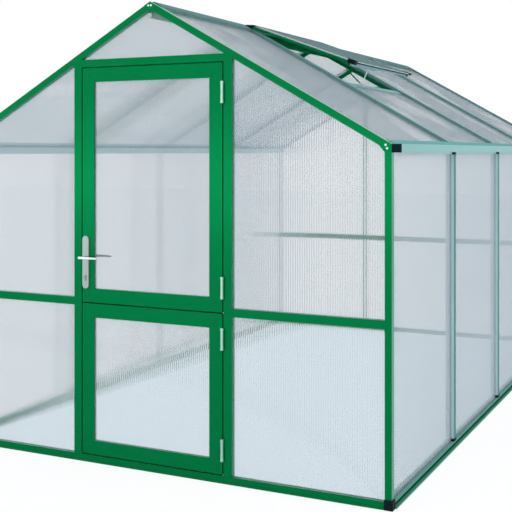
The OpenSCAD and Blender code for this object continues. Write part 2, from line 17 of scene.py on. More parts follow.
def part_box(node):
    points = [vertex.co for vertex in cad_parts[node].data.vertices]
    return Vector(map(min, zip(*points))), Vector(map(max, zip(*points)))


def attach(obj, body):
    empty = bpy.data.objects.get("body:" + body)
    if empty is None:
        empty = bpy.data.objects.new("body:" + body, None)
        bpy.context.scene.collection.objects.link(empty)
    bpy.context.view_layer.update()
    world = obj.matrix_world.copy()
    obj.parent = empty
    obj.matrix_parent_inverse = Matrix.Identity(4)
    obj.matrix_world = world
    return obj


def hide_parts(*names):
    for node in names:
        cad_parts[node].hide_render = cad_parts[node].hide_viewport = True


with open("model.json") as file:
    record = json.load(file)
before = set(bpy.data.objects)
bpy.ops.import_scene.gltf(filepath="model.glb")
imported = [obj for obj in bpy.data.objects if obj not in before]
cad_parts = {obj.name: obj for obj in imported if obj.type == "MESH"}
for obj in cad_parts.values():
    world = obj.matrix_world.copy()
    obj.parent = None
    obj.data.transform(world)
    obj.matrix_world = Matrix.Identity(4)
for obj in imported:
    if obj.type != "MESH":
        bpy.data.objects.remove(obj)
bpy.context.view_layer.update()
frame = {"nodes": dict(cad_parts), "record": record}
mm = 0.001

# %% [markdown]
# ## The studio
# A greenhouse is nearly all reflection and see-through, so the studio comes before
# the object. A plain white world would do, but it would light the profiles and be
# seen in them at the same strength. Light Path separates the two: what is looked at,
# mirrored or seen through a sheet is white, and what lights the object is weaker.

# %% Small helpers for materials


def linear(code, alpha=1.0):
    """An sRGB hex colour as the linear one that Blender's sockets take."""
    parts = [int(code[i:i + 2], 16) / 255 for i in (1, 3, 5)]
    return [c / 12.92 if c < 0.04045 else ((c + 0.055) / 1.055) ** 2.4 for c in parts] + [alpha]


def add(tree, kind, inputs=None, **settings):
    """Adds a node; inputs are plain values, or sockets to link from."""
    node = tree.nodes.new(kind)
    for name, value in settings.items():
        setattr(node, name, value)
    for name, value in (inputs or {}).items():
        if isinstance(value, bpy.types.NodeSocket):
            tree.links.new(value, node.inputs[name])
        else:
            node.inputs[name].default_value = value
    return node


def new_material(name):
    """An empty material and its node tree."""
    material = bpy.data.materials.new(name)
    material.use_nodes = True
    material.node_tree.nodes.clear()
    return material, material.node_tree


# %% World: white where it is seen, softer where it lights
LIGHT_LEVEL = 0.72

world = bpy.data.worlds.new("studio")
bpy.context.scene.world = world
world.use_nodes = True
sky = world.node_tree
sky.nodes.clear()
path = add(sky, "ShaderNodeLightPath")
seen = add(sky, "ShaderNodeMath", {0: path.outputs["Is Camera Ray"],
                                   1: path.outputs["Is Glossy Ray"]}, operation="ADD")
seen = add(sky, "ShaderNodeMath", {0: seen.outputs[0], 1: path.outputs["Is Transmission Ray"]},
           operation="ADD", use_clamp=True)
lamp = add(sky, "ShaderNodeBackground", {"Color": linear("#f4f8ff"), "Strength": LIGHT_LEVEL})
backdrop = add(sky, "ShaderNodeBackground", {"Color": (1, 1, 1, 1), "Strength": 1.0})
both = add(sky, "ShaderNodeMixShader", {0: seen.outputs[0], 1: lamp.outputs[0],
                                        2: backdrop.outputs[0]})
add(sky, "ShaderNodeOutputWorld", {"Surface": both.outputs[0]})

# %% [markdown]
# The floor is matt white paper. Lit only by the lamps it would come out grey, and
# more light would wash out the object, so most of it glows for a direct look and the
# rest stays matt to keep the shadow. Three soft lamps stand in front, to the side and
# low beside the wall, and a long low one far in front is mirrored by the profiles as
# a bright band at about chest height.

# %% Floor
bpy.ops.object.select_all(action="DESELECT")
bpy.ops.mesh.primitive_plane_add(size=60, location=(0, 0, -0.001))
floor = bpy.context.object
floor.name = "studio_floor"
paper, tree = new_material("matt white backdrop paper")
path = add(tree, "ShaderNodeLightPath")
matt = add(tree, "ShaderNodeBsdfDiffuse", {"Color": linear("#e6ebee")})
# painted shade: under the house the paper's glow is tinted darker and bluer, for the light that has
# come through the sheets
PAINTED_UNDER_SHADE = (0.82, 0.93, 0.98, 1)
TINT_FADE = 25 * mm                   # width of the band in which the tint ends, at the walls
PAPER_GLOW = 1.04                     # just over 1, so that the paper's share of shade ends in white
GLOW_SHARE = 0.85                     # how much of a direct look is glow; the rest takes shadows
place = add(tree, "ShaderNodeSeparateXYZ", {0: add(tree, "ShaderNodeTexCoord").outputs["Object"]})
low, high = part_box("wall_sheets_left")[0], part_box("wall_sheets_right")[1]
under = []
for axis in (0, 1):
    side = add(tree, "ShaderNodeMath", {0: place.outputs[axis]}, operation="ABSOLUTE")
    edge = (high - low)[axis] / 2
    fade = add(tree, "ShaderNodeMapRange", {"Value": side.outputs[0], "From Min": edge - TINT_FADE,
                                            "From Max": edge, "To Min": 1.0, "To Max": 0.0})
    under.append(fade.outputs[0])
under = add(tree, "ShaderNodeMath", {0: under[0], 1: under[1]}, operation="MULTIPLY")
colour = add(tree, "ShaderNodeMix", {0: under.outputs[0], 6: (1, 1, 1, 1), 7: PAINTED_UNDER_SHADE},
             data_type="RGBA")
glow = add(tree, "ShaderNodeEmission", {"Color": colour.outputs[2], "Strength": PAPER_GLOW})
direct = add(tree, "ShaderNodeMath", {0: path.outputs["Is Camera Ray"],
                                      1: path.outputs["Is Transmission Ray"]},
             operation="ADD", use_clamp=True)
share = add(tree, "ShaderNodeMath", {0: direct.outputs[0], 1: GLOW_SHARE}, operation="MULTIPLY")
mixed = add(tree, "ShaderNodeMixShader", {0: share.outputs[0], 1: matt.outputs[0], 2: glow.outputs[0]})
add(tree, "ShaderNodeOutputMaterial", {"Surface": mixed.outputs[0]})
floor.data.materials.append(paper)
print("tinted floor:", [round(v, 3) for v in (high - low)[:2]], "m")

# %% Lamps


def softbox(name, place, aim, width, height, power, mirrored=False):
    """A rectangular area lamp at a place, aimed at a point."""
    data = bpy.data.lights.new(name, "AREA")
    data.shape = "RECTANGLE"
    data.energy, data.size, data.size_y = power, width, height
    box = bpy.data.objects.new(name, data)
    bpy.context.scene.collection.objects.link(box)
    box.location = place
    box.rotation_euler = (Vector(aim) - Vector(place)).to_track_quat("-Z", "Y").to_euler()
    box.visible_glossy = mirrored
    box.visible_camera = box.visible_transmission = False
    print(name, "at", place, power, "W")


softbox("front softbox", (-3.5, -8, 5), (0, -1, 1), 4, 4, 190)
softbox("side softbox", (8, -2, 6), (0, 0, 1), 4, 4, 200)
softbox("low softbox", (6, 0, 0.7), (0, 0, 0.4), 5, 1.2, 60)
softbox("far strip", (0, -18, 0.75), (0, 0, 0.75), 44, 1.9, 950, mirrored=True)

# %% [markdown]
# ## Camera
# The camera is level and stands to the right of the front gable, at eye height; its
# shift brings the house's foot into view without tilting the verticals.

# %% Camera
ASIDE, BEFORE, EYE_HEIGHT = 2.64535, 4.23549, 1.587
TURN = math.radians(25.947)
front_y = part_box("corner_posts_front")[0].y
data = bpy.data.cameras.new("camera")
data.lens, data.sensor_width = 70.48, 36
data.shift_y = -0.2044
camera = bpy.data.objects.new("camera", data)
bpy.context.scene.collection.objects.link(camera)
camera.location = (ASIDE, front_y - BEFORE, EYE_HEIGHT)
camera.rotation_euler = (math.pi / 2, 0, TURN)
bpy.context.scene.camera = camera
bpy.context.scene.view_settings.view_transform = "Standard"
bpy.context.scene.cycles.transparent_max_bounces = 64   # a look crosses many skins and webs
print("camera at", [round(v, 3) for v in camera.location])

# %% [markdown]
# ## Finishes
# ### Powder coat
# The profiles are extruded aluminium with a baked polyester powder coat. The powder
# flows out to a skin with a faint orange peel and tiny flakes that mirror the room in
# the coat's own colour, and at a low angle the skin mirrors the pale room itself. A
# plain green Principled shader would miss that, so a mirror-like shader is mixed in by
# Layer Weight. The peel is really 1 to 2 mm wide; it is drawn 6 mm wide to show, and a
# cloud of 120 mm gives the small unevenness of a sprayed batch.
#
# All profiles have the same coat. What faces the side lies between pale sheets and
# mirrors them, so it looks grey-green; each such place gets its own colour, a painted
# reflection that mixes coat and mirrored paleness, and places in shade get a painted
# shade of darker green.

# %% Powder coat
PEEL = 6 * mm
CLOUD = 120 * mm


def shaded(code, factor):
    """The linear colour, made lighter or darker."""
    return [c * factor for c in linear(code)[:3]] + [1.0]


def powder_coat(name, code, low_angle, flakes=0.3, coat="#e6f9ff", low_from=0.35):
    """Low_angle is how much the skin mirrors at a low angle, flakes how metallic it is."""
    material, tree = new_material(name)
    place = add(tree, "ShaderNodeTexCoord").outputs["Object"]
    cloud = add(tree, "ShaderNodeTexNoise", {"Vector": place, "Scale": 1 / CLOUD, "Detail": 2.0})
    colour = add(tree, "ShaderNodeMix", {0: cloud.outputs["Fac"], 6: shaded(code, 0.93),
                                         7: shaded(code, 1.07)}, data_type="RGBA")
    peel = add(tree, "ShaderNodeTexNoise", {"Vector": place, "Scale": 1 / PEEL, "Detail": 1.0})
    bumps = add(tree, "ShaderNodeBump", {"Strength": 0.15, "Distance": 0.3 * mm,
                                         "Height": peel.outputs["Fac"]})
    skin = add(tree, "ShaderNodeBsdfPrincipled", {
        "Base Color": colour.outputs[2], "Roughness": 0.2, "IOR": 1.5, "Specular IOR Level": 0.0,
        "Metallic": flakes, "Normal": bumps.outputs["Normal"]})
    facing = add(tree, "ShaderNodeLayerWeight", {"Blend": 0.5})
    share = add(tree, "ShaderNodeMapRange", {"Value": facing.outputs["Facing"], "From Min": low_from,
                                             "From Max": 0.85, "To Min": 0.0, "To Max": low_angle})
    shine = add(tree, "ShaderNodeBsdfAnisotropic", {"Color": linear(coat), "Roughness": 0.3})
    whole = add(tree, "ShaderNodeMixShader", {0: share.outputs[0], 1: skin.outputs[0],
                                              2: shine.outputs[0]})
    add(tree, "ShaderNodeOutputMaterial", {"Surface": whole.outputs[0]})
    return material


# seen from the front: the full green, with a bright band mirrored in it
green = powder_coat("green powder coat on aluminium", "#05743f", 0.4)
sill_green = powder_coat("green powder coat on the base rails", "#05743f", 0.16)
# painted shade: darker greens with no sheen at all, for the shade of the roof and deep in a recess
shade_green = powder_coat("green powder coat inside the house", "#03663a", 0.0, flakes=0.0)
painted_recess_green = powder_coat("green powder coat with painted shade in a recess", "#034522", 0.0, flakes=0.0)
# painted light: the same green coat made pale grey-green, for the haze of the sheets that lies over the
# inside parts
haze_painted_green = powder_coat("pale grey-green powder coat inside the house", "#b4c2c6", 0.0, flakes=0.0)


def painted_reflection_coat(name, code, low_angle):
    """The coat where it faces the side, with a painted reflection mixed into its colour: no flakes to
    see, and a sheen that sets in early.
    """
    return powder_coat(name, code, low_angle, flakes=0.0, low_from=0.2)


# painted reflection and shade: the green coat with what each place mirrors painted into its colour,
# paler where it mirrors the sheets and darker where it mirrors the shaded room
sheen_painted_green = painted_reflection_coat("green powder coat with painted grey-green sheen", "#76a19e", 0.2)
pale_painted_green = painted_reflection_coat("pale grey-green powder coat", "#a8c2c3", 0.2)
dark_painted_green = painted_reflection_coat("green powder coat with painted dark reflection", "#4a817b", 0.05)
sheet_reflection_green = painted_reflection_coat("blue-grey powder coat beside the sheets", "#6f8f96", 0.1)
nose_sheen_green = painted_reflection_coat("green powder coat with painted sheen on the rails' edges", "#4c8d78", 0.1)
gutter_sheen_green = painted_reflection_coat("green powder coat with painted pale sheen", "#6fa39f", 0.28)
edge_sheen_green = painted_reflection_coat("green powder coat with painted blue-green sheen", "#5ca09b", 0.1)
grey_reflection_green = painted_reflection_coat("green powder coat with painted dark grey reflection", "#5d827e", 0.06)

# %% [markdown]
# ### Moulded plastic, anodised and plated metal
# The caps are black polypropylene from a spark-eroded mould, which gives a fine matt
# grain. The handle and hinges are aluminium, brushed along their length and anodised:
# the eye sees a satin metal with faint streaks. The bolts are zinc-plated steel,
# brighter and smoother. Each grain is a noise in millimetres, stretched for brushing.

# %% Plastic and metals


def grained(name, code, metal, rough_from, rough_to, grain, stretch=1.0, level=0.5):
    """A material whose grain varies roughness and height; stretch draws the grain out along Z."""
    material, tree = new_material(name)
    place = add(tree, "ShaderNodeTexCoord").outputs["Object"]
    place = add(tree, "ShaderNodeMapping", {"Vector": place, "Scale": (1, 1, 1 / stretch)}).outputs[0]
    noise = add(tree, "ShaderNodeTexNoise", {"Vector": place, "Scale": 1 / grain, "Detail": 3.0})
    rough = add(tree, "ShaderNodeMapRange", {"Value": noise.outputs["Fac"], "From Min": 0.3,
                                             "From Max": 0.7, "To Min": rough_from, "To Max": rough_to})
    colour = add(tree, "ShaderNodeMix", {0: noise.outputs["Fac"], 6: shaded(code, 0.92),
                                         7: shaded(code, 1.08)}, data_type="RGBA")
    bumps = add(tree, "ShaderNodeBump", {"Strength": 0.3, "Distance": 0.05 * mm,
                                         "Height": noise.outputs["Fac"]})
    shader = add(tree, "ShaderNodeBsdfPrincipled", {
        "Base Color": colour.outputs[2], "Roughness": rough.outputs[0], "Metallic": metal,
        "Specular IOR Level": level, "Normal": bumps.outputs["Normal"]})
    add(tree, "ShaderNodeOutputMaterial", {"Surface": shader.outputs[0]})
    return material


black = grained("black moulded polypropylene", "#0a161a", 0.0, 0.42, 0.6, 1.5 * mm, level=0.08)
# painted shade in part: the door's seal lips of this dark rubber also stand for the shade in its gaps
rubber = grained("black EPDM rubber", "#0c2419", 0.0, 0.6, 0.8, 2 * mm, level=0.08)
zinc = grained("zinc-plated steel", "#eef8f2", 0.6, 0.2, 0.32, 3 * mm)
nickel = grained("nickel-plated brass", "#85848c", 0.8, 0.25, 0.35, 2 * mm)
# anodised aluminium: bright outside, darker and a little rougher on the backplates, with
# a painted green reflection of the frame on the hinges, and painted shade on the inner
# lever, for the shaded inside that it mirrors
BRUSHED = 0.8 * mm
silver = grained("satin anodised aluminium", "#d8dfdb", 0.75, 0.25, 0.4, BRUSHED, stretch=40.0)
dull_silver = grained("brushed anodised aluminium, backplates", "#9ea6a2", 0.75, 0.3, 0.45, BRUSHED,
                      stretch=40.0)
frame_reflection_silver = grained("satin anodised aluminium, hinges", "#a8cdb8", 0.75, 0.25, 0.4, BRUSHED,
                      stretch=40.0)
shaded_silver = grained("satin anodised aluminium, inner lever", "#555c60", 0.75, 0.25, 0.4, BRUSHED)

# %% [markdown]
# ### Twin-wall polycarbonate
# Each sheet is extruded in one go: two thin clear skins, joined by a web every 12 mm.
# Seen squarely it is clear but restless: the skins are a little thicker at each web,
# so every cell is a weak lens that smears what is behind it sideways, and not up or
# down. At a low angle the webs and skins hide more and more, until the sheet looks
# milky. So a veil grows with Layer Weight, and the lens is a Refraction shader with a
# wave of bumps, one to each cell, at the webs' real spacing. Rays that carry light to
# the inside of the house skip the lens and most of the veil, or the sheets would throw
# black shadows. The roof is seen at a low angle, where it mirrors the room; a noise
# paints patches of reflection on it.

# %% Polycarbonate
RIB_PITCH = 11.7 * mm
WAVE_UNIT = 2 * math.pi / 20          # makes one band of the wave texture one unit long
LENS_DEPTH = 0.2 * mm                 # how much thicker a skin is at a web
PATCH = 400 * mm                      # size of the patches of sheen on the roof
LIGHT_VEIL = 0.3                      # share of the veil that rays of light meet


def polycarbonate(name, code, veil, low_veil, gloss, lens=False, power=4.0, rough=0.15, painted_patches=False):
    """Veil is how much one face of a skin hides, low_veil how much more at a low angle."""
    material, tree = new_material(name)
    facing = add(tree, "ShaderNodeLayerWeight", {"Blend": 0.5}).outputs["Facing"]
    low = add(tree, "ShaderNodeMath", {0: facing, 1: power}, operation="POWER").outputs[0]
    path = add(tree, "ShaderNodeLightPath")
    light = add(tree, "ShaderNodeMath", {0: path.outputs["Is Shadow Ray"],
                                         1: path.outputs["Is Diffuse Ray"]},
                operation="ADD", use_clamp=True).outputs[0]
    hides = add(tree, "ShaderNodeMath", {0: low, 1: low_veil, 2: veil}, operation="MULTIPLY_ADD")
    dim = add(tree, "ShaderNodeMapRange", {"Value": light, "To Min": 1.0, "To Max": LIGHT_VEIL})
    cover = add(tree, "ShaderNodeMath", {0: hides.outputs[0], 1: dim.outputs[0]}, operation="MULTIPLY",
                use_clamp=True)
    clear = add(tree, "ShaderNodeBsdfTransparent", {"Color": (1, 1, 1, 1)}).outputs[0]
    if lens:
        place = add(tree, "ShaderNodeTexCoord").outputs["UV"]
        wave = add(tree, "ShaderNodeTexWave", {"Vector": place, "Scale": WAVE_UNIT, "Distortion": 0.0,
                                               "Phase Offset": math.pi},
                   wave_type="BANDS", bands_direction="X")
        ridge = add(tree, "ShaderNodeMath", {0: wave.outputs["Fac"], 1: 8.0}, operation="POWER")
        bumps = add(tree, "ShaderNodeBump", {"Strength": 1.0, "Distance": LENS_DEPTH,
                                             "Height": ridge.outputs[0]})
        bend = add(tree, "ShaderNodeBsdfRefraction", {"Color": (1, 1, 1, 1), "Roughness": 0.01,
                                                      "IOR": 1.5, "Normal": bumps.outputs["Normal"]})
        steep = add(tree, "ShaderNodeMapRange", {"Value": facing, "From Min": 0.5, "From Max": 0.7,
                                                 "To Min": 1.0, "To Max": 0.0})
        looks = add(tree, "ShaderNodeMath", {0: 1.0, 1: light}, operation="SUBTRACT")
        bends = add(tree, "ShaderNodeMath", {0: looks.outputs[0], 1: steep.outputs[0]},
                    operation="MULTIPLY")
        clear = add(tree, "ShaderNodeMixShader", {0: bends.outputs[0], 1: clear,
                                                  2: bend.outputs[0]}).outputs[0]
    matt = add(tree, "ShaderNodeBsdfDiffuse", {"Color": linear(code)})
    glow = add(tree, "ShaderNodeBsdfTranslucent", {"Color": linear(code)})
    haze = add(tree, "ShaderNodeMixShader", {0: 0.4, 1: matt.outputs[0], 2: glow.outputs[0]})
    body = add(tree, "ShaderNodeMixShader", {0: cover.outputs[0], 1: clear, 2: haze.outputs[0]})
    share = add(tree, "ShaderNodeMath", {0: low, 1: gloss}, operation="MULTIPLY")
    # painted reflection: a noise sets how much the roof mirrors, in patches
    if painted_patches:
        place = add(tree, "ShaderNodeTexCoord").outputs["Object"]
        drift = add(tree, "ShaderNodeTexNoise", {"Vector": place, "Scale": 1 / PATCH, "Detail": 1.0})
        patch = add(tree, "ShaderNodeMapRange", {"Value": drift.outputs["Fac"], "From Min": 0.45,
                                                 "From Max": 0.65, "To Min": 0.2, "To Max": 3.5})
        share = add(tree, "ShaderNodeMath", {0: share.outputs[0], 1: patch.outputs[0]},
                    operation="MULTIPLY")
    shine = add(tree, "ShaderNodeBsdfAnisotropic", {"Color": (1, 1, 1, 1), "Roughness": rough})
    whole = add(tree, "ShaderNodeMixShader", {0: share.outputs[0], 1: body.outputs[0],
                                              2: shine.outputs[0]})
    add(tree, "ShaderNodeOutputMaterial", {"Surface": whole.outputs[0]})
    return material


# painted light and shade: all the sheets are one clear polycarbonate; their haze colours differ by
# place for the light each gets, lightest at the back, darker on the side walls and the roof, and a dark
# teal on the vent
front_skin = polycarbonate("clear polycarbonate, inner faces", "#bac6cf", 0.12, 0.3, 0.1)
front_lens = polycarbonate("clear polycarbonate, front sheets", "#bac6cf", 0.12, 0.3, 0.1, lens=True)
back_lens = polycarbonate("clear polycarbonate, back sheets", "#c3cfd8", 0.03, 0.85, 0.1, lens=True)
wall_clear = polycarbonate("clear polycarbonate, side sheets", "#aebbc4", 0.02, 0.6, 0.1)
roof_clear = polycarbonate("clear polycarbonate, roof sheets", "#a6b3ba", 0.02, 0.6, 0.1,
                           painted_patches=True)
vent_clear = polycarbonate("clear polycarbonate, vent sheet", "#6d9092", 0.05, 0.9, 0.05)
rib_clear = polycarbonate("clear polycarbonate, webs of the front", "#f1f6f8", 0.05, 0.0, 0.25,
                          power=0.5, rough=0.02)
rib_soft = polycarbonate("clear polycarbonate, other webs", "#e6edf0", 0.1, 0.0, 0.0)

# %% [markdown]
# ## Modelling by hand, in code
# These few helpers do what a hand does in the viewport: select one object, go into
# edit mode with some faces picked by their place or normal, and leave again.

# %% Helpers for modelling


def pick(*objects):
    """Selects only these objects; the first is the active one."""
    bpy.ops.object.select_all(action="DESELECT")
    for obj in objects:
        obj.select_set(True)
    bpy.context.view_layer.objects.active = objects[0]


def edit(obj, kind="FACE", test=None):
    """Enters edit mode on one object, with what passes the test selected."""
    pick(obj)
    mesh = obj.data
    for group in (mesh.vertices, mesh.edges, mesh.polygons):
        group.foreach_set("select", [False] * len(group))
    if test:
        for part in {"VERT": mesh.vertices, "EDGE": mesh.edges, "FACE": mesh.polygons}[kind]:
            part.select = bool(test(part))
    bpy.ops.object.mode_set(mode="EDIT")
    bpy.ops.mesh.select_mode(type=kind)


def leave():
    bpy.ops.object.mode_set(mode="OBJECT")


def merged_copy(node):
    """A copy of a CAD node's mesh with its loose triangles joined up."""
    mesh = frame["nodes"][node].data.copy()
    mesh.materials.clear()
    piece = bpy.data.objects.new("copy_" + node, mesh)
    bpy.context.scene.collection.objects.link(piece)
    pick(piece)
    bpy.ops.mesh.customdata_custom_splitnormals_clear()
    bpy.ops.object.mode_set(mode="EDIT")
    bpy.ops.mesh.select_all(action="SELECT")
    bpy.ops.mesh.remove_doubles(threshold=0.01 * mm)
    bpy.ops.mesh.dissolve_limited(angle_limit=math.radians(0.5))
    leave()
    return piece


def joined_copies(part, places):
    """Copies of a part, each with its own mesh, put in their places and joined."""
    made = []
    for place in places:
        twin = part.copy()
        twin.data = part.data.copy()
        bpy.context.scene.collection.objects.link(twin)
        twin.matrix_world = place
        made.append(twin)
    bpy.data.objects.remove(part)
    pick(*made)
    bpy.ops.object.join()
    bpy.ops.object.transform_apply()
    return bpy.context.view_layer.objects.active


body_of = {n: body for body, names in frame["record"]["behaviour"]["bodies"].items() for n in names}


def finish(piece, name, slot, body, *nodes, finishes=()):
    """Names a piece, gives it its finishes and body, and lets it stand for its CAD nodes."""
    piece.name = piece.data.name = name
    for one in finishes:
        piece.data.materials.append(one)
    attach(piece, body)
    if nodes:
        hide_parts(*nodes)
    print(name, "on", body, len(piece.data.polygons), "faces")
    return piece


# %% [markdown]
# ## Profiles
# An extruded profile has no sharp edges: the die rounds them by about half a
# millimetre, and the coat rounds them more. The bevel catches a thin line of light
# that tells the eye it is metal. Each profile is a merged copy of its CAD node with a
# bevel modifier. Where one profile has faces that take light differently, such as the
# inside of the house or a recess, a small rule picks the finish face by face, before
# the bevel.

# %% Profile maker


def profile(node, slot, finishes, radius=0.6 * mm, which=None, segments=2, word="coated", prepare=None):
    """A CAD node's copy with rounded edges.

    which(face) gives the number of each face's finish, and prepare(piece) changes the
    copy's shape first.
    """
    piece = merged_copy(node)
    if prepare:
        prepare(piece)
    for one in finishes:
        piece.data.materials.append(one)
    if which:
        for face in piece.data.polygons:
            face.material_index = which(face)
    bevel = piece.modifiers.new("edges", "BEVEL")
    bevel.width, bevel.segments, bevel.limit_method = radius, segments, "ANGLE"
    bevel.angle_limit = math.radians(30)
    bpy.ops.object.modifier_apply(modifier="edges")
    bpy.ops.object.shade_smooth_by_angle(angle=math.radians(35))
    # the broad faces stay flat to the eye, and only the rounded edges turn
    flat = piece.modifiers.new("flat", "WEIGHTED_NORMAL")
    flat.keep_sharp = True
    bpy.ops.object.modifier_apply(modifier="flat")
    return finish(piece, node + "_" + word, slot, body_of[node], node)


# %% [markdown]
# ### Gable frames, door frame and leaves
# These are plain rectangular profiles, sawn and screwed, and mitred at the ridge and
# in the leaves. They are only copied and rounded. The back rafters are seen edge-on
# from the front, where they mirror the pale room, so those faces get a painted grey
# reflection.

# %% Gable frames, door frame and leaves
for node in ("corner_posts_front", "corner_posts_back", "rafters_front", "gusset_plates",
             "door_jambs", "door_header", "door_stops", "mid_rails_front", "mid_rails_back",
             "back_studs", "back_header", "lower_leaf_frame", "upper_leaf_frame",
             "base_rail_front", "base_rail_back"):
    profile(node, "green_frame", [green])


def edge_on(face):
    """1 for a back rafter's top and front faces, 0 for the rest."""
    return 1 if face.normal.z > 0.5 or face.normal.y < -0.5 else 0


profile("rafters_back", "green_frame", [green, grey_reflection_green], which=edge_on)

# %% [markdown]
# ### Side base rails
# The side base rails have a step for the sheets, a nose that is drawn down, and a
# foot. The recess between nose and foot gets a dark green of painted shade, and the
# step, nose and foot get painted reflections. The nose comes down a little further
# than in the CAD model, as a drip edge: its lower edges are picked by their height
# and moved.

# %% Side base rails
NOSE_LOW = 33 * mm                    # the nose's lower edge in the CAD model
DRIP = 11 * mm                        # how far it is drawn down
WALL_X, RECESS_X = 1.236, 1.247       # the inner wall's face and the recess's face
TINY = 0.5 * mm


def rail_face(face):
    """0 for the inner wall, 1 for the step, 2 for nose and foot, 3 for the recess."""
    height, side = face.center.z, abs(face.center.x)
    if side < WALL_X:
        return 0
    if face.normal.z > 0.5 and height > NOSE_LOW:
        return 1
    return 3 if abs(side - RECESS_X) < TINY and abs(face.normal.x) > 0.5 else 2


def draw_down(rail):
    """Moves the nose's lower edges down."""
    edit(rail, "VERT", lambda v: abs(v.co.z - NOSE_LOW) < 0.1 * mm and abs(v.co.x) > RECESS_X - TINY)
    bpy.ops.transform.translate(value=(0, 0, -DRIP))
    leave()


for side in ("left", "right"):
    profile("base_rail_" + side, "green_frame", [sill_green, sheet_reflection_green, nose_sheen_green, painted_recess_green],
            which=rail_face, prepare=draw_down)

# %% [markdown]
# ### Gutter, roof edges and ridge
# The gutter and the eave beam are one profile, and the roof sheets end in a strip over
# it. Gutter and roof edges get a painted pale reflection, and the beam's part a painted
# paleness for the light that comes through the sheets; the ridge beam gets a painted
# grey reflection outside and a darker green of painted shade where it is seen from
# inside, so the gutter profile and the ridge beam get two finishes each.

# %% Gutter, roof edges, ridge
PITCH = math.radians(29.6)
SHEETS_UNDER = 21.5 * mm              # the roof sheets' underside, measured down from the slope
outer_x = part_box("corner_posts_front")[1].x
slope_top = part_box("ridge_beam")[1].z - 3.4 * mm     # where both slopes' planes meet


def below_roof(face):
    """1 for what lies under the roof sheets, 0 for the rest."""
    place = face.center
    depth = (place.z - slope_top) * math.cos(PITCH) + abs(place.x) * math.sin(PITCH)
    return 1 if depth < -SHEETS_UNDER else 0


def under_gutter(face):
    """1 for the beam and the underside, painted pale for the light from the side sheets, 0 for the
    gutter.
    """
    return 1 if abs(face.center.x) < outer_x or face.normal.z < -0.5 else 0


for side in ("left", "right"):
    profile("eave_gutter_" + side, "side_profiles", [gutter_sheen_green, pale_painted_green], which=under_gutter)
profile("roof_edges", "side_profiles", [edge_sheen_green])
profile("ridge_beam", "side_profiles", [grey_reflection_green, shade_green], which=below_roof)

# %% [markdown]
# ## Glazing bars
# A bar holds two sheets between an inner foot and an outer cap that is snapped on. The
# cap has broad chamfers along its edges, so these bars get a wider bevel. On the walls
# the cap's flanks face the front and get a painted pale reflection, and its outer face
# a painted dark one. On the roof it is the other way round. The inner part is painted
# too: pale on the walls, for the sheets' haze over it, and a darker green of shade on
# the roof.

# %% Glazing bars
CAP_DEPTH = 17 * mm
wall_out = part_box("wall_bars")[1].x


def flank_or_cap(face):
    return 1 if abs(face.normal.y) > 0.7 else 0


def wall_bar_face(face):
    """0 for the cap's outer face, 1 for its flanks, 2 for what is inside the house."""
    return 2 if abs(face.center.x) < wall_out - CAP_DEPTH else flank_or_cap(face)


def roof_bar_face(face):
    """The same numbers for a bar on the roof."""
    return 2 if below_roof(face) else flank_or_cap(face)


profile("wall_bars", "side_profiles", [dark_painted_green, pale_painted_green, haze_painted_green], 2.0 * mm, wall_bar_face)
profile("roof_bars", "side_profiles", [sheen_painted_green, grey_reflection_green, shade_green], 2.0 * mm, roof_bar_face)

# %% [markdown]
# ## Black moulded caps
# Caps close every cut end: the base's corners, the gutters, the bars and the vent's
# edge. They are moulded, so their edges are rounder than a profile's.

# %% Black caps
for node in ("base_corner_caps", "gutter_end_caps", "wall_bar_caps", "vent_edge_caps"):
    radius = 0.5 * mm if node == "gutter_end_caps" else 1.2 * mm
    profile(node, "black_plastic", [black], radius, segments=3, word="moulded")

# %% [markdown]
# ## Roof vent
# The vent is a mitred green frame with its own sheet, hung on a rail at the ridge and
# held open by a rod. Its frame gets a darker green of painted shade, since most of it is
# seen from below the sheet; the lower rail's outer face is the one part with a painted
# reflection of the room. The rod is coated, in the same darker green of painted shade,
# and the stay beyond it is bare aluminium.

# %% Vent frame, sill and opener
vent_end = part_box("vent_frame")[1].x


def lower_rail(face):
    """0 for the lower rail's outer face, 1 for the rest."""
    return 0 if face.normal.x > 0.8 and face.center.x > vent_end - 30 * mm else 1


profile("vent_frame", "green_frame", [sheen_painted_green, shade_green], which=lower_rail)
profile("vent_sill", "side_profiles", [gutter_sheen_green])
STAY_FROM = 87 * mm                   # where the bare stay begins, from the opener's inner end
stay_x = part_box("vent_opener")[0].x + STAY_FROM
profile("vent_opener", "silver_fittings", [silver, shade_green],
        which=lambda face: 1 if face.center.x < stay_x else 0, word="rods")

# %% [markdown]
# ## Door fittings
# The hinges are turned barrels with end caps. The backplates are pressed with a
# raised, rounded rim, so their bevel is much wider. The lock is a plated cylinder with
# a narrow keyway.

# %% Hinges, backplates and lock
for node in ("hinge_frame_halves", "lower_leaf_hinges", "upper_leaf_hinges"):
    profile(node, "silver_fittings", [frame_reflection_silver], 0.8 * mm, word="turned")
profile("handle_plates", "silver_fittings", [dull_silver], 2.4 * mm, segments=4, word="pressed")
profile("lock_cylinder", "silver_fittings", [nickel], 0.6 * mm, word="plated")

# %% [markdown]
# ## Lever
# The lever is cast: a neck on the spindle that turns into a slim grip, a little
# thinner at its free end. The grip is drawn out of a cube in three steps, and the neck
# out of its back; one is made outside the leaf and one inside, and both are joined on
# the spindle.

# %% Lever
lever_low, lever_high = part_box("door_lever")
SPINDLE_X, SPINDLE_Z = -0.382, lever_low.z + 10 * mm
GRIP_H, GRIP_T, NECK_W = 12 * mm, 10 * mm, 15 * mm
GRIP_UP = 2 * mm                      # the grip's middle above the spindle's
GRIP_STEPS = ((18, 0.92), (34, 0.9), (36, 0.86), (5.5, 0.6))     # reach in mm, and taper


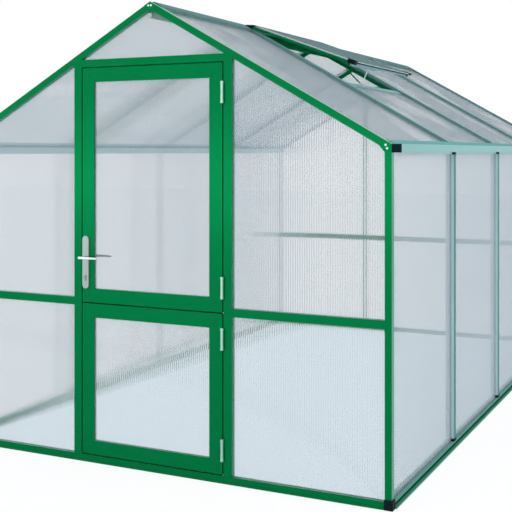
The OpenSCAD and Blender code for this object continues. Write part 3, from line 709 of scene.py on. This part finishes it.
def lever_side(grip_y, plate_y, middle_y, metal):
    """A grip at grip_y with a neck that ends on the backplate, and a spindle to the middle."""
    inward = 1 if plate_y > grip_y else -1
    grip = Vector((SPINDLE_X, grip_y + inward * GRIP_T / 2, SPINDLE_Z + GRIP_UP))
    bpy.ops.object.select_all(action="DESELECT")
    bpy.ops.mesh.primitive_cube_add(size=1, location=grip, scale=(NECK_W, GRIP_T, GRIP_H))
    side = bpy.context.object
    bpy.ops.object.transform_apply()
    edit(side, "FACE", lambda face: face.normal.x > 0.9)
    for reach, thinner in GRIP_STEPS:
        bpy.ops.mesh.extrude_region_move(TRANSFORM_OT_translate={"value": (reach * mm, 0, 0)})
        bpy.ops.transform.resize(value=(1, thinner, thinner), center_override=(0, grip.y, grip.z))
    leave()
    edit(side, "FACE", lambda face: face.normal.y * inward > 0.9 and face.center.x < SPINDLE_X + 1 * mm)
    bpy.ops.mesh.inset(thickness=1.5 * mm)
    neck = plate_y - grip_y - inward * GRIP_T
    bpy.ops.mesh.extrude_region_move(TRANSFORM_OT_translate={"value": (0, neck, 0)})
    bpy.ops.mesh.inset(thickness=1.2 * mm)
    bpy.ops.mesh.extrude_region_move(TRANSFORM_OT_translate={"value": (0, middle_y - plate_y, 0)})
    leave()
    round_edges = side.modifiers.new("round", "BEVEL")
    round_edges.width, round_edges.segments, round_edges.limit_method = 3.4 * mm, 4, "ANGLE"
    bpy.ops.object.modifier_apply(modifier="round")
    bpy.ops.object.shade_smooth_by_angle(angle=math.radians(50))
    side.data.materials.append(metal)
    return side


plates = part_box("handle_plates")
middle_y = (plates[0].y + plates[1].y) / 2
both = [lever_side(lever_low.y, plates[0].y, middle_y, silver),
        lever_side(lever_high.y, plates[1].y, middle_y, shaded_silver)]
pick(*both)
bpy.ops.object.join()
finish(bpy.context.view_layer.objects.active, "door_lever_cast", "silver_fittings", "door_lever",
       "door_lever")

# %% [markdown]
# ## Bolts
# Every gusset plate is held by bolts with low domed heads and a hexagon socket. One
# head is modelled: a short cylinder whose front is inset and raised into a dome, then
# inset again and pushed in for the socket. It is copied to each plate, in front and
# behind.

# %% Gusset bolts
HEAD_R, HEAD_H = 5.2 * mm, 2.2 * mm
RIDGE_BOLT = (0.0075, 2.310)          # x and z of each bolt on the right half of a gable
EAVE_BOLTS = ((1.2225, 1.616), (1.2294, 1.6005))
bpy.ops.object.select_all(action="DESELECT")
bpy.ops.mesh.primitive_cylinder_add(vertices=18, radius=HEAD_R, depth=HEAD_H,
                                    location=(0, -HEAD_H / 2, 0), rotation=(math.pi / 2, 0, 0))
bolt = bpy.context.object
bpy.ops.object.transform_apply()
edit(bolt, "FACE", lambda face: face.normal.y < -0.9)
bpy.ops.mesh.inset(thickness=1.3 * mm, depth=0.8 * mm)
bpy.ops.mesh.inset(thickness=1.1 * mm, depth=0.2 * mm)
bpy.ops.mesh.inset(thickness=0.2 * mm, depth=-1.6 * mm)
leave()
bpy.ops.object.shade_smooth_by_angle(angle=math.radians(40))
plate_low, plate_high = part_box("gusset_plates")
spots = [(side * x, z) for side in (-1, 1) for x, z in (RIDGE_BOLT, *EAVE_BOLTS)]
half_turn = Matrix.Rotation(math.pi, 4, "Z")
places = [Matrix.Translation((x, plate_low.y, z)) for x, z in spots]
places += [Matrix.Translation((x, plate_high.y, z)) @ half_turn for x, z in spots]
finish(joined_copies(bolt, places), "gusset_bolts", "silver_fittings", body_of["gusset_plates"],
       finishes=[zinc])

# %% [markdown]
# ## Seal lips
# The gaps above and below the lower leaf are closed by rubber lips in its edges, so
# that no light shows through; their dark colour is also a painted shade for these gaps.
# Each is a flat strip with a thinner lip drawn out of it, and rides on the leaf.

# %% Seal lips of the lower leaf
leaf_low, leaf_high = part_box("lower_leaf_frame")
SEAL_T, SEAL_FOOT = 5 * mm, 1.6 * mm  # thickness of a strip, and its height before the lip
SEAL_BACK = 12 * mm                   # the strips' middle, behind the leaf's face
SEAL_IN = 6 * mm                      # how much narrower than the leaf, both sides together
SEAL_GAP = 0.5 * mm                   # left free beyond the lip


def seal_lip(start_z, end_z):
    """A strip across the leaf from its edge at start_z, with a lip that reaches to end_z."""
    toward = 1 if end_z > start_z else -1
    foot = toward * SEAL_FOOT
    bpy.ops.object.select_all(action="DESELECT")
    bpy.ops.mesh.primitive_cube_add(size=1, location=(0, leaf_low.y + SEAL_BACK, start_z + foot / 2),
                                    scale=(leaf_high.x - leaf_low.x - SEAL_IN, SEAL_T, SEAL_FOOT))
    strip = bpy.context.object
    bpy.ops.object.transform_apply()
    edit(strip, "FACE", lambda face: face.normal.z * toward > 0.9)
    bpy.ops.mesh.inset(thickness=1.2 * mm)
    bpy.ops.mesh.extrude_region_move(TRANSFORM_OT_translate={"value": (0, 0, end_z - start_z - foot)})
    leave()
    return strip


lips = [seal_lip(leaf_high.z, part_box("upper_leaf_frame")[0].z - SEAL_GAP),
        seal_lip(leaf_low.z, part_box("base_rail_front")[1].z + SEAL_GAP)]
pick(*lips)
bpy.ops.object.join()
finish(bpy.context.view_layer.objects.active, "lower_leaf_seals", "black_plastic", "door_lower",
       finishes=[rubber])

# %% [markdown]
# ## Twin-wall sheets
# Each CAD sheet is a plain slab, and the real one is a row of hollow cells. One cell is
# modelled: a box as wide as the web spacing, whose ends are inset and bridged into a
# channel. An array repeats it across the sheet, and the head of a gable sheet is then
# slid up to its slope. The work is done in the sheet's own directions, across, out and
# up, and turned back at the end, so that roof and walls take the same steps.

# %% Twin-wall sheets
SKIN = 0.8 * mm
WEB = 0.6 * mm


def twin_wall(part):
    """Builds one hollow sheet in the place of a plain CAD sheet."""
    out = max(part.data.polygons, key=lambda p: p.area).normal.copy()
    up = (Vector((0, 0, 1)) - out * out.z).normalized()
    turn = Matrix((out.cross(up), out, up)).transposed()
    corners = np.array([turn.inverted() @ v.co for v in part.data.vertices])
    low, high = corners.min(0), corners.max(0)
    size = high - low
    cells = round(size[0] / RIB_PITCH)
    step = size[0] / cells
    middle = (low[0] + step / 2, (low[1] + high[1]) / 2, (low[2] + high[2]) / 2)
    start, end = low[0] + WEB / 4, high[0] - WEB / 4
    bpy.ops.object.select_all(action="DESELECT")
    bpy.ops.mesh.primitive_cube_add(size=1, location=middle, scale=(step, size[1], size[2]))
    sheet = bpy.context.object
    bpy.ops.object.transform_apply()
    # the channel: both ends are inset and bridged
    edit(sheet, "FACE", lambda f: abs(f.normal.z) > 0.5)
    bpy.ops.mesh.inset(thickness=SKIN)
    bpy.ops.transform.resize(value=((step - WEB) / (step - 2 * SKIN), 1, 1), center_override=middle)
    bpy.ops.mesh.bridge_edge_loops()
    leave()
    # its outer sides go, since the next cell starts there
    edit(sheet, "FACE",
         lambda f: abs(f.normal.x) > 0.5 and not start < f.center.x < start + step - WEB / 2)
    bpy.ops.mesh.delete(type="ONLY_FACE")
    leave()
    # every cell runs from 0 to 1 in its UVs, for the lens
    flat = sheet.data.uv_layers.active.data
    for loop in sheet.data.loops:
        flat[loop.index].uv = ((sheet.data.vertices[loop.vertex_index].co.x - low[0]) / step, 0)
    row = sheet.modifiers.new("row", "ARRAY")
    row.count, row.use_relative_offset, row.use_constant_offset = cells, False, True
    row.constant_offset_displace = (step, 0, 0)
    row.use_merge_vertices, row.merge_threshold = True, 0.01 * mm
    bpy.ops.object.modifier_apply(modifier="row")
    # both edges of the sheet are closed
    edit(sheet, "VERT", lambda v: v.co.x < start or v.co.x > end)
    bpy.ops.mesh.select_mode(type="EDGE")
    bpy.ops.mesh.fill_holes(sides=4)
    leave()
    # the head follows the CAD sheet's highest corners
    heads = {}
    for x, _, z in corners:
        key = round(x, 4)
        heads[key] = max(heads.get(key, z), z)
    line = sorted(heads.items())
    for v in sheet.data.vertices:
        if v.co.z > middle[2]:
            v.co.z = np.interp(v.co.x, [k for k, _ in line], [z for _, z in line])
    # finishes: 0 for the skins' inner faces, 1 for webs, 2 for the outermost faces
    for face in sheet.data.polygons:
        inside = start < face.center.x < end
        outer = min(abs(face.center.y - low[1]), abs(face.center.y - high[1])) < SKIN / 4
        face.material_index = 1 if abs(face.normal.x) > 0.5 and inside else 2 if outer else 0
    sheet.matrix_world = turn.to_4x4()
    pick(sheet)
    bpy.ops.object.transform_apply()
    return sheet


# %% [markdown]
# ### All sheets
# A node may hold several sheets, such as the bays of a wall. They are pulled apart,
# built one by one, and joined again. The finish depends on where a sheet is seen from:
# the gables squarely, with the lens, the walls and the roof at a low angle.

# %% All sheets
skins = {"front": (front_skin, front_lens), "leaf": (front_skin, front_lens),
         "back": (wall_clear, back_lens), "roof": (roof_clear, roof_clear),
         "vent": (vent_clear, vent_clear), "wall": (wall_clear, wall_clear)}
for node in [n for n in frame["nodes"] if "sheet" in n]:
    whole = merged_copy(node)
    pick(whole)
    bpy.ops.mesh.separate(type="LOOSE")
    parts = list(bpy.context.selected_objects)
    made = [twin_wall(part) for part in parts]
    for part in parts:
        bpy.data.objects.remove(part)
    inner, outer = next(pair for word, pair in skins.items() if word in node)
    web = rib_clear if outer == front_lens else rib_soft
    for panel in made:
        for one in (inner, web, outer):
            panel.data.materials.append(one)
    pick(*made)
    if len(made) > 1:
        bpy.ops.object.join()
    finish(bpy.context.view_layer.objects.active, node + "_hollow", "twin_wall_sheet", body_of[node],
           node)
